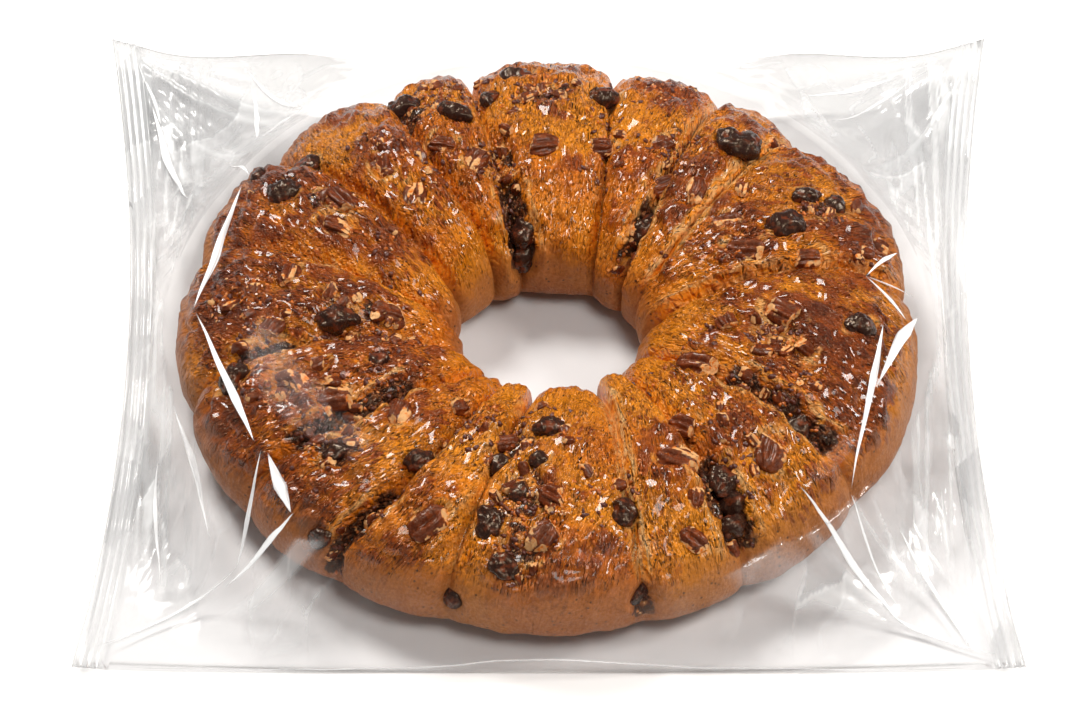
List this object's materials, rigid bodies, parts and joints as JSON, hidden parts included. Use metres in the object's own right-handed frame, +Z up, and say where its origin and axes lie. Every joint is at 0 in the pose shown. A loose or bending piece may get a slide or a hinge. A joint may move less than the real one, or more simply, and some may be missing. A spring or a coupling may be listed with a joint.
{
  "type": "date pecan ring",
  "caption": "Twisted sweet-dough ring with pecans and date pieces baked into its glazed crust, lying in a sealed clear film bag.",
  "frame": {"origin": "on the underside of the bag's base film, at the middle of the ring's hole", "axes": "+Z up, +X along the bag towards one end seal, +Y towards the back of the bag"},
  "size_m": [0.374, 0.35, 0.0614],
  "materials": {
    "crust": "egg-washed and glazed, golden to mahogany brown",
    "pecan": "toasted, lightly glazed, broken faces cream",
    "date": "sticky and wrinkled, nearly black",
    "film": "clear glossy packing film"
  },
  "bodies": {
    "root": {"bread_ring": "crust", "pecan_01": "pecan", "pecan_02": "pecan", "pecan_03": "pecan", "pecan_04": "pecan", "pecan_05": "pecan", "pecan_06": "pecan", "pecan_07": "pecan", "pecan_08": "pecan", "pecan_09": "pecan", "pecan_10": "pecan", "pecan_11": "pecan", "pecan_12": "pecan", "pecan_13": "pecan", "pecan_14": "pecan", "pecan_15": "pecan", "pecan_16": "pecan", "pecan_17": "pecan", "pecan_18": "pecan", "pecan_19": "pecan", "pecan_20": "pecan", "pecan_21": "pecan", "pecan_22": "pecan", "pecan_23": "pecan", "pecan_24": "pecan", "pecan_25": "pecan", "pecan_26": "pecan", "pecan_27": "pecan", "pecan_28": "pecan", "pecan_29": "pecan", "pecan_30": "pecan", "date_01": "date", "date_02": "date", "date_03": "date", "date_04": "date", "date_05": "date", "date_06": "date", "date_07": "date", "date_08": "date", "date_09": "date", "date_10": "date", "date_11": "date", "date_12": "date", "date_13": "date", "date_14": "date", "date_15": "date", "date_16": "date", "date_17": "date", "date_18": "date", "date_19": "date", "date_20": "date", "date_21": "date", "date_22": "date", "bag_top_film": "film", "bag_base_film": "film"}
  },
  "joints": []
}
